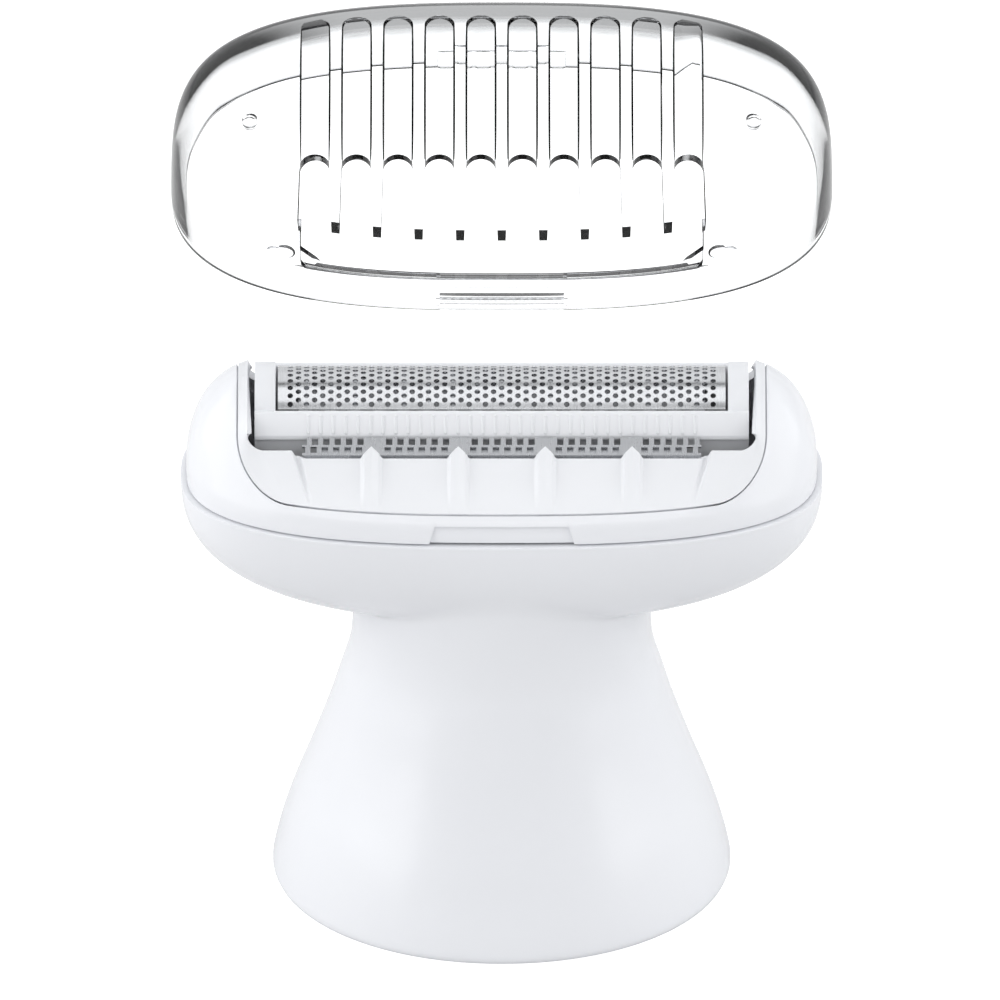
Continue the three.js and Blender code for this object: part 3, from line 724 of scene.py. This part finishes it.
def shaving_foil():
    angle = FOIL["half_angle"]
    outer = arc((0, FOIL_AXIS_Z), FOIL_RADIUS, 90 + angle, 90 - angle, 64)
    inner = arc((0, FOIL_AXIS_Z), FOIL_RADIUS - FOIL["thickness"], 90 - angle, 90 + angle, 64)
    piece = make_piece("foil_sheet", *prism(outer + inner, foil_low[0], foil_high[0], 0),
                       foil_steel, "foil", "foil_steel", ["shaving_foil"])
    parts = []
    rows = int(2 * math.radians(angle) * FOIL_RADIUS / FOIL["row"]) - 1
    half = foil_high[0] - FOIL["margin"]
    for row in range(rows):
        lean = (row - (rows - 1) / 2) * FOIL["row"] / FOIL_RADIUS
        shift = 0.5 * (row % 2)
        columns = int(half / FOIL["pitch"]) + 1
        for column in range(-columns, columns + 1):
            x = (column + shift) * FOIL["pitch"]
            if abs(x) > half:
                continue
            parts.append(capped([hole_ring(x, lean, FOIL_RADIUS + step) for step in (-0.4, 0.4)]))
    combine(piece, scratch(*merged(parts)), "DIFFERENCE")
    return piece


def hole_ring(x, lean, radius):
    """One round foil hole where it crosses a cylinder about the foil's axis."""
    ring = []
    for turn in np.linspace(0, 2 * math.pi, FOIL["hole_sides"], endpoint=False):
        tilt = lean + FOIL["hole"] * math.sin(turn) / FOIL_RADIUS
        ring.append((x + FOIL["hole"] * math.cos(turn), radius * math.sin(tilt),
                     FOIL_AXIS_Z + radius * math.cos(tilt)))
    return ring


# ---------- trimmers ----------

GUARD = {"half_length": 16.3, "low": (-6.62, 41.75), "high": (-5.35, 42.72), "thickness": 0.22,
         "lip": 0.42}
TOOTH = {"pitch": 0.93, "count": 6, "slot": 0.52}


def guard_strip(low, high, inward, thickness):
    """A flat strip's section, moved inwards from the line between two points."""
    low, high = np.array(low), np.array(high)
    along = (high - low) / np.linalg.norm(high - low)
    inside = np.array([along[1], -along[0]])
    corners = (low + inside * inward, low + inside * (inward + thickness),
               high + inside * (inward + thickness), high + inside * inward)
    return [tuple(corner) for corner in corners]


def slots_between(low_share, high_share, width, shift=0.0):
    low, high = np.array(GUARD["low"]), np.array(GUARD["high"])
    start = low + (high - low) * low_share
    end = low + (high - low) * high_share
    section = guard_strip(start, end, -0.5, 1.3)
    parts = []
    for segment in range(BAY["count"]):
        middle = (segment - (BAY["count"] - 1) / 2) * BAY["pitch"] * 0.985
        for i in range(TOOTH["count"]):
            x = middle + (i - (TOOTH["count"] - 1) / 2) * TOOTH["pitch"] + shift
            parts.append(prism(section, x - width / 2, x + width / 2, 0))
    return merged(parts)


def trimmer_guard(name, node, side):
    strip = guard_strip(GUARD["low"], GUARD["high"], 0, GUARD["thickness"])
    y, z = GUARD["low"]
    inside = y + GUARD["thickness"]
    lip = [(inside, z - 0.18), (inside, z - GUARD["lip"]), (y, z - GUARD["lip"])]
    section = [strip[0]] + strip[3:1:-1] + lip
    piece = make_piece(name, *prism(section, -GUARD["half_length"], GUARD["half_length"], 0),
                       blade_steel, "head", "trimmer_steel", [node])
    combine(piece, scratch(*slots_between(0.14, 0.46, TOOTH["slot"])), "DIFFERENCE")
    combine(piece, scratch(*slots_between(0.58, 1.2, TOOTH["slot"], 0.12)), "DIFFERENCE")
    if side < 0:
        flip_y(piece)
    return piece


def flip_y(piece):
    """Mirrors a mesh front to back and keeps its faces pointing out."""
    piece.data.transform(Matrix.Scale(-1, 4, (0, 1, 0)))
    piece.data.flip_normals()


# ---------- comb cap, in its own axes: rim at height 0 ----------

CAP = {"half_length": cap_half_length, "half_width": 13.5, "height": 11.8, "end_wall": 1.0,
       "side_wall": 0.75, "roof": 1.3, "roof_band": 0.3, "squareness": 2.75, "sides": 440}
CAP_RINGS = (
    # height, share of the half length, share of the half width
    (0.0, 1.0, 1.0),
    (1.6, 1.0, 1.0),
    (3.4, 0.998, 0.996),
    (5.2, 0.993, 0.986),
    (7.0, 0.979, 0.96),
    (8.6, 0.953, 0.91),
    (9.9, 0.913, 0.835),
    (10.9, 0.855, 0.735),
    (11.45, 0.79, 0.62),
    (11.7, 0.7, 0.48),
    (11.78, 0.5, 0.3),
    (11.8, 0.3, 0.15),
)
COMB = {"pitch": 3.37, "bays": 10, "width": 2.4, "tip_width": 2.66, "root_y": -6.0, "rear_y": 8.6,
        "depth": 0.8}
DRAFT = {"bay_low": 0.09, "bay_high": -0.11, "groove_low": -0.1, "groove_high": 0.54}
WINDOW = {"half_width": 16.3, "sill": 3.9, "tips": 7.9, "top": 7.6, "corner": 0.5}
TAB = {"half_width": 5.35, "height": 2.7, "inner_y": 12.55, "ridge_y": 12.43}
TAB_GROOVES = {"count": 4, "low": 0.45, "pitch": 0.5, "depth": 0.3}


def cap_skin(inset_x, inset_y, drop, rim):
    """Rings of the cap's dome, inset at the sides, lowered at the roof, rounded by rim at the bottom edge."""
    rows = eased(smooth_rows(CAP_RINGS, 10), 45)
    size = abs(rim)
    heights = np.concatenate([np.linspace(0, size, 6)[:-1], rows[rows[:, 0] > size, 0]])
    angles = np.linspace(0, 2 * math.pi, CAP["sides"], endpoint=False)
    plan_x, plan_y = rounded_plan(angles, CAP["squareness"])
    rings = []
    for z in heights:
        a = CAP["half_length"] * np.interp(z, rows[:, 0], rows[:, 1]) - inset_x
        b = CAP["half_width"] * np.interp(z, rows[:, 0], rows[:, 2]) - inset_y
        turned = rim * (1 - math.sqrt(1 - max(0.0, 1 - z / size) ** 2))
        height = z * (1 - drop / CAP["height"])
        level = np.full(CAP["sides"], height)
        rings.append(np.stack([(a - turned) * plan_x, (b - turned) * plan_y, level], 1))
    rings.append(rings[-1] * [1 - CAP["roof_band"] / a, 1 - CAP["roof_band"] / b, 1])
    return rings


def cap_shell():
    outer = cap_skin(0.0, 0.0, 0.0, 0.3)
    inner = cap_skin(CAP["end_wall"], CAP["side_wall"], CAP["roof"], -0.25)
    return capped(inner[::-1] + outer)


def drafted(low_outline, high_outline, low, high):
    """An upright cutter whose outline changes from one end to the other."""
    return capped([[(x, y, low) for x, y in low_outline], [(x, y, high) for x, y in high_outline]])


def bay_outline(x, grow):
    """One gap between teeth: a round root, opening slightly towards the tips."""
    root, tip = COMB["width"] / 2 + grow, COMB["tip_width"] / 2 + grow
    crown = arc((x, COMB["root_y"] - COMB["width"] / 2), root, 0, 180, 24)
    return [(x - tip, -16.0), (x + tip, -16.0)] + crown


def groove_outline(x, grow):
    half = COMB["width"] / 2
    crown = arc((x, COMB["rear_y"] - half), half + grow, 0, 180, 24)
    return [(x - half - grow, -7.0), (x + half + grow, -7.0)] + crown


def rounded_rectangle(x_low, x_high, z_low, z_high, radius):
    corners = ((x_high - radius, z_low + radius, -90), (x_high - radius, z_high - radius, 0),
               (x_low + radius, z_high - radius, 90), (x_low + radius, z_low + radius, 180))
    outline = []
    for x, z, start in corners:
        outline += arc((x, z), radius, start, start + 90, 6)
    return outline


def front_tab():
    """The catch under the window: a thicker patch with a ridge inside."""
    outer = CAP["half_width"] - 0.25
    ridge, face, top = -TAB["ridge_y"], -TAB["inner_y"], TAB["height"]
    section = [(-outer, 0.3), (ridge - 0.1, 0.3), (ridge, 0.5), (ridge, 0.95), (face, 1.15),
               (face, top - 0.2), (-outer + 0.4, top), (-outer, top)]
    return prism(section, -TAB["half_width"], TAB["half_width"], 0)


def finger_grooves():
    """Cutter for the grooves across the front of the catch."""
    outer = CAP["half_width"]
    low, pitch = TAB_GROOVES["low"], TAB_GROOVES["pitch"]
    high = low + TAB_GROOVES["count"] * pitch
    section = [(-outer - 1, low)]
    for i in range(TAB_GROOVES["count"]):
        z = low + i * pitch
        section += [(-outer - 0.05, z), (-outer + TAB_GROOVES["depth"], z + pitch / 2)]
    section += [(-outer - 0.05, high), (-outer - 1, high)]
    return prism(section, -TAB["half_width"] + 0.3, TAB["half_width"] - 0.3, 0)


def rear_tab():
    """The rear catch, with upright ribs on its inner face."""
    outer = CAP["half_width"] - 0.25
    ribs = 7
    step = 2 * TAB["half_width"] / ribs
    section = [(TAB["half_width"], outer), (-TAB["half_width"], outer)]
    for i in range(ribs):
        x = -TAB["half_width"] + i * step
        section += [(x + 0.12, TAB["inner_y"]), (x + 0.3, TAB["ridge_y"]), (x + step - 0.3, TAB["ridge_y"]),
                    (x + step - 0.12, TAB["inner_y"])]
    return prism(section, 0.3, TAB["height"], 2)


def window_gusset(side):
    """The small web across each lower corner of the window."""
    x = side * WINDOW["half_width"]
    web = ((0.4, -0.4), (-1.6, -0.4), (-1.3, 0.1), (0, 1.5), (0.4, 1.6))
    section = [(x + side * across, WINDOW["sill"] + up) for across, up in web]
    depth = CAP["half_width"] * rounded_reach(x / CAP["half_length"], CAP["squareness"]) - 0.65
    return prism(section, -depth, -depth + 0.5, 1)


def rounded_reach(share, squareness):
    """Half width of a unit superellipse over a point of its length."""
    return (1 - abs(share) ** squareness) ** (1 / squareness)


def snap_bump(side):
    """A lens-shaped bump inside the front wall, just outside each window corner."""
    x = side * 17.9
    y = -CAP["half_width"] * rounded_reach(x / CAP["half_length"], CAP["squareness"]) + 0.7
    rows = []
    for share in np.linspace(0, 1, 13):
        lean = math.pi * share
        rows.append((max(0.02, 1.25 * math.sin(lean)), 4.9 - 0.9 * math.cos(lean)))
    points, faces = disc_stack(rows, 0.0, 0.0, 32)
    return [(x + px, y + 0.45 * py, pz) for px, py, pz in points], faces


def roof_peg(side):
    """A short round peg under the roof."""
    top = CAP["height"] - CAP["roof"]
    rows = [(0.3, top - 1.2), (0.5, top - 1.1), (0.6, top - 0.8), (0.62, top + 0.2)]
    return disc_stack(rows, side * 20.4, -2.0, 24)


def comb_cap():
    piece = make_piece("comb_cap_shell", *cap_shell(), cap_clear, "cap", "clear_plastic", ["comb_cap"])
    window = rounded_rectangle(-WINDOW["half_width"], WINDOW["half_width"], WINDOW["sill"], WINDOW["tips"],
                               WINDOW["corner"])
    combine(piece, scratch(*prism(window, -16, -8, 1)), "DIFFERENCE")
    gaps, grooves = [], []
    for i in range(COMB["bays"]):
        x = (i - (COMB["bays"] - 1) / 2) * COMB["pitch"]
        low, high = bay_outline(x, DRAFT["bay_low"]), bay_outline(x, DRAFT["bay_high"])
        gaps.append(drafted(low, high, WINDOW["top"], 14))
        low, high = groove_outline(x, DRAFT["groove_low"]), groove_outline(x, DRAFT["groove_high"])
        grooves.append(drafted(low, high, CAP["height"] - COMB["depth"], 14))
    combine(piece, scratch(*merged(gaps)), "DIFFERENCE")
    combine(piece, scratch(*merged(grooves)), "DIFFERENCE")
    combine(piece, scratch(*front_tab()), "UNION")
    combine(piece, scratch(*finger_grooves()), "DIFFERENCE")
    combine(piece, scratch(*rear_tab()), "UNION")
    for side in (1, -1):
        combine(piece, scratch(*window_gusset(side)), "UNION")
        combine(piece, scratch(*snap_bump(side)), "UNION")
        combine(piece, scratch(*roof_peg(side)), "UNION")
    hang(piece)
    shade(piece.data, 30)
    piece.visible_shadow = False
    return piece


def hang(piece):
    """Moves a mesh from the cap's own axes to where the record's hinge holds it at rest."""
    joint = next(j for j in frame["joints"] if j["name"] == "comb_cap_lift")
    hinge = Vector(joint["pos_m"])
    seat = Matrix.Translation((0, 0, UPPER_Z * MM - 0.1 * MM))
    tilt = Matrix.Rotation(-math.radians(joint["range_deg"][0]), 4, "X")
    place = Matrix.Translation(hinge) @ tilt @ Matrix.Translation(-hinge) @ seat
    piece.data.transform(place)


# ---------- CAD nodes that stay ----------

KEPT = (
    (inner_grey, ("cutter_carrier", "drive_bridge", "guide_frame", "chassis_plate", "bearing_plate",
                  "coupling_ring")),
    (dark_plastic, ("swing_lever", "eccentric_cam", "drive_coupling")),
    (blade_steel, ("inner_cutter", "trimmer_blade_front", "trimmer_blade_rear")),
    (spring_steel, ("cutter_spring", "foil_spring_left", "foil_spring_right", "lever_pivot_pin",
                    "drive_shaft", "chassis_screw_1", "chassis_screw_2", "chassis_screw_3",
                    "chassis_screw_4", "bearing_screw_left", "bearing_screw_right")),
    (bush_brass, ("shaft_bush",)),
    (seal_rubber, ("seal_ring",)),
)


def finish_kept_nodes():
    """Gives each CAD node that shows its own finish, and all but the springs and the seal softened edges."""
    for finish, names in KEPT:
        for name in names:
            node = frame["nodes"][name]
            for slot in node.material_slots:
                slot.material = finish
            if "spring" not in name and name != "seal_ring":
                add_modifier(node, "BEVEL", width=0.08 * MM, segments=2, limit_method="ANGLE",
                             angle_limit=math.radians(40))


# ---------- stage ----------

FLOOR = {"half_size": 6000, "glow": 0.4, "seen": 0.92, "bounce": 0.74}
WORLD = {"front": 0.2, "back": 0.71, "front_y": -0.96, "back_y": -0.5}
DARK_STRIP = {"degrees": 23, "core": 0.03, "edge": 0.09, "level": 0.06}
FLAG = {"colour": (0.01, 0.01, 0.012, 1), "floor_centre": 0.9, "world_centre": 0.5}
SOFTBOXES = (
    # name, place, size, power
    ("top_softbox", (0, -0.05, 0.8), (1.2, 0.5), 1.25),
    ("back_softbox", (0, 0.6, 0.6), (1.4, 0.45), 0.2),
    ("left_softbox", (-0.62, -0.1, 0.3), (1.1, 0.6), 3.0),
    ("right_softbox", (0.62, -0.05, 0.3), (0.9, 0.6), 2.2),
    ("front_softbox", (0, -0.75, 0.55), (0.9, 0.3), 1.15),
)
CAMERA = {"elevation": math.radians(29), "distance": 3.0, "aim": Vector((-0.00014, 0, 0.0339))}
PICTURES_PER_METRE = 12.2


def math_node(tree, operation, first, second):
    node = tree.nodes.new("ShaderNodeMath")
    node.operation = operation
    for socket, value in zip(node.inputs, (first, second)):
        if isinstance(value, (int, float)):
            socket.default_value = value
        else:
            tree.links.new(value, socket)
    return node.outputs[0]


def map_range(tree, source, low, high, start, end):
    node = tree.nodes.new("ShaderNodeMapRange")
    node.interpolation_type = "SMOOTHSTEP"
    for key, value in (("From Min", low), ("From Max", high), ("To Min", start), ("To Max", end)):
        node.inputs[key].default_value = value
    tree.links.new(source, node.inputs["Value"])
    return node.outputs["Result"]


def edge_darkener(tree, sideways):
    """How much a dark flag takes of the light that met the inside of a clear wall, most at the sides."""
    path = tree.nodes.new("ShaderNodeLightPath")
    bounced = math_node(tree, "GREATER_THAN", path.outputs["Glossy Depth"], 0.5)
    seen = math_node(tree, "MULTIPLY", bounced, path.outputs["Is Transmission Ray"])
    return math_node(tree, "MULTIPLY", seen, sideways)


def seen_directly(tree):
    """1 where the eye looks, straight or through clear walls, and 0 for light that falls on a surface."""
    path = tree.nodes.new("ShaderNodeLightPath")
    return math_node(tree, "MAXIMUM", path.outputs["Is Camera Ray"], path.outputs["Is Transmission Ray"])


def side_share(tree, output, low, high, centre):
    """From centre in the middle to 1 far to the left or right."""
    place = tree.nodes.new("ShaderNodeTexCoord")
    parts = tree.nodes.new("ShaderNodeSeparateXYZ")
    tree.links.new(place.outputs[output], parts.inputs["Vector"])
    distance = math_node(tree, "ABSOLUTE", parts.outputs["X"], 0.0)
    return parts, map_range(tree, distance, low, high, centre, 1.0)


def floor_stage():
    """A pale floor that looks white and throws back a little less light than it shows."""
    half = FLOOR["half_size"]
    corners = [(-half, -half, 0), (half, -half, 0), (half, half, 0), (-half, half, 0)]
    mesh = bpy.data.meshes.new("floor")
    mesh.from_pydata((np.array(corners) * MM + [0, 0, cad_box[0][2]]).tolist(), [], [(0, 1, 2, 3)])
    floor = bpy.data.objects.new("floor", mesh)
    bpy.context.scene.collection.objects.link(floor)
    material, tree, shader = node_material("floor")
    shader.inputs["Roughness"].default_value = 0.9
    shader.inputs["Specular IOR Level"].default_value = 0.1
    shader.inputs["Emission Color"].default_value = (1, 1, 1, 1)
    seen = seen_directly(tree)
    tree.links.new(ramp(tree, seen, FLOOR["bounce"], FLOOR["seen"], 0.0, 1.0), shader.inputs["Base Color"])
    tree.links.new(math_node(tree, "MULTIPLY", seen, FLOOR["glow"]), shader.inputs["Emission Strength"])
    flag = tree.nodes.new("ShaderNodeEmission")
    flag.inputs["Color"].default_value = FLAG["colour"]
    mix = tree.nodes.new("ShaderNodeMixShader")
    sideways = side_share(tree, "Object", 0.03, 0.06, FLAG["floor_centre"])[1]
    tree.links.new(edge_darkener(tree, sideways), mix.inputs["Fac"])
    tree.links.new(shader.outputs["BSDF"], mix.inputs[1])
    tree.links.new(flag.outputs["Emission"], mix.inputs[2])
    tree.links.new(mix.outputs["Shader"], tree.nodes["Material Output"].inputs["Surface"])
    mesh.materials.append(material)


def world_light():
    """Soft light all round, dimmer low in front, with a dark strip above for the foil to reflect."""
    world = bpy.data.worlds.new("studio")
    bpy.context.scene.world = world
    world.use_nodes = True
    tree = world.node_tree
    background = tree.nodes["Background"]
    background.inputs["Color"].default_value = (0.98, 0.99, 1.0, 1)
    parts, sideways = side_share(tree, "Generated", 0.05, 0.25, FLAG["world_centre"])
    level = map_range(tree, parts.outputs["Y"], WORLD["front_y"], WORLD["back_y"], WORLD["front"],
                      WORLD["back"])
    overhead = math_node(tree, "ARCTAN2", parts.outputs["Y"], parts.outputs["Z"])
    off_centre = math_node(tree, "SUBTRACT", overhead, math.radians(DARK_STRIP["degrees"]))
    off_strip = math_node(tree, "ABSOLUTE", off_centre, 0.0)
    strip = map_range(tree, off_strip, DARK_STRIP["core"], DARK_STRIP["edge"], DARK_STRIP["level"], 1.0)
    level = math_node(tree, "MULTIPLY", level, strip)
    lit = math_node(tree, "SUBTRACT", 1.0, edge_darkener(tree, sideways))
    level = math_node(tree, "MAXIMUM", level, seen_directly(tree))
    tree.links.new(math_node(tree, "MULTIPLY", level, lit), background.inputs["Strength"])


def softbox(name, place, size, power, target=(0, 0, 0.035)):
    light = bpy.data.lights.new(name, "AREA")
    light.shape = "RECTANGLE"
    light.size, light.size_y = size
    light.energy = power
    lamp = bpy.data.objects.new(name, light)
    bpy.context.scene.collection.objects.link(lamp)
    lamp.location = place
    lamp.visible_camera = False
    lamp.rotation_euler = (Vector(target) - Vector(place)).to_track_quat("-Z", "Y").to_euler()


def camera():
    """A long lens from far off, looking slightly down."""
    elevation, distance = CAMERA["elevation"], CAMERA["distance"]
    data = bpy.data.cameras.new("camera")
    data.sensor_width = 36
    data.lens = data.sensor_width * PICTURES_PER_METRE * distance
    data.clip_end = 20
    lens = bpy.data.objects.new("camera", data)
    bpy.context.scene.collection.objects.link(lens)
    lens.location = CAMERA["aim"] + distance * Vector((0, -math.cos(elevation), math.sin(elevation)))
    lens.rotation_euler = (math.pi / 2 - elevation, 0, 0)
    bpy.context.scene.camera = lens


floor_stage()
world_light()
camera()
for box in SOFTBOXES:
    softbox(*box)
bpy.context.scene.view_settings.view_transform = "Standard"

lower_housing()
upper_housing()
trimmer_frame()
foil_frame()
shaving_foil()
trimmer_guard("trimmer_guard_comb_front", "trimmer_guard_front", 1)
trimmer_guard("trimmer_guard_comb_rear", "trimmer_guard_rear", -1)
comb_cap()
finish_kept_nodes()
